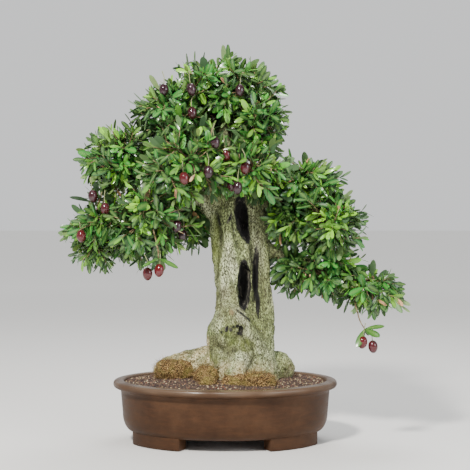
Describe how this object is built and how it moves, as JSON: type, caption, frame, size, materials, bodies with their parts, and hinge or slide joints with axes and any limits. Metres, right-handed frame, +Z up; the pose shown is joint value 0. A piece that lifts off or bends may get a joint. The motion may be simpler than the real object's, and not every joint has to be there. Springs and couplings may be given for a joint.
{
  "type": "olive bonsai",
  "caption": "Old olive tree trained as a bonsai: hollow twisted trunk, layered leafy pads with ripe olives, in an oval stoneware pot on cut feet.",
  "frame": {"origin": "middle of the whole tree and pot in plan, on the surface that the pot's feet stand on", "axes": "+Z up, +X to the right and -Y towards the viewer as the tree's front is seen, with the pot's long side along X"},
  "size_m": [0.5921, 0.3264, 0.6978],
  "materials": {
    "stoneware": "satin",
    "soil": "matte",
    "bark": "matte",
    "root_fibre": "matte",
    "leaf": "satin",
    "olive_skin": "gloss",
    "screen_plastic": "matte"
  },
  "bodies": {
    "root": {"pot": "stoneware", "soil": "soil", "trunk": "bark", "root_clod_left": "root_fibre", "root_clod_middle": "root_fibre", "root_clod_right": "root_fibre", "drain_screen_left": "screen_plastic", "drain_screen_right": "screen_plastic", "foliage_crown_top": "leaf", "foliage_crown_left": "leaf", "foliage_crown_right": "leaf", "foliage_crown_back": "leaf", "foliage_shoulder_left": "leaf", "foliage_shoulder_front": "leaf", "foliage_shoulder_back": "leaf", "foliage_low_left_tip": "leaf", "foliage_low_left_front": "leaf", "foliage_low_left_back": "leaf", "foliage_centre_right": "leaf", "foliage_right_top": "leaf", "foliage_right_mid": "leaf", "foliage_right_back": "leaf", "foliage_right_low": "leaf", "foliage_right_tip": "leaf", "olive_01": "olive_skin", "olive_02": "olive_skin", "olive_03": "olive_skin", "olive_04": "olive_skin", "olive_05": "olive_skin", "olive_06": "olive_skin", "olive_07": "olive_skin", "olive_08": "olive_skin", "olive_09": "olive_skin", "olive_10": "olive_skin", "olive_11": "olive_skin", "olive_12": "olive_skin", "olive_13": "olive_skin", "olive_14": "olive_skin", "olive_15": "olive_skin", "olive_16": "olive_skin", "olive_17": "olive_skin", "olive_18": "olive_skin", "olive_19": "olive_skin", "olive_20": "olive_skin", "olive_21": "olive_skin", "olive_22": "olive_skin", "olive_23": "olive_skin", "olive_24": "olive_skin", "olive_25": "olive_skin"}
  },
  "joints": []
}
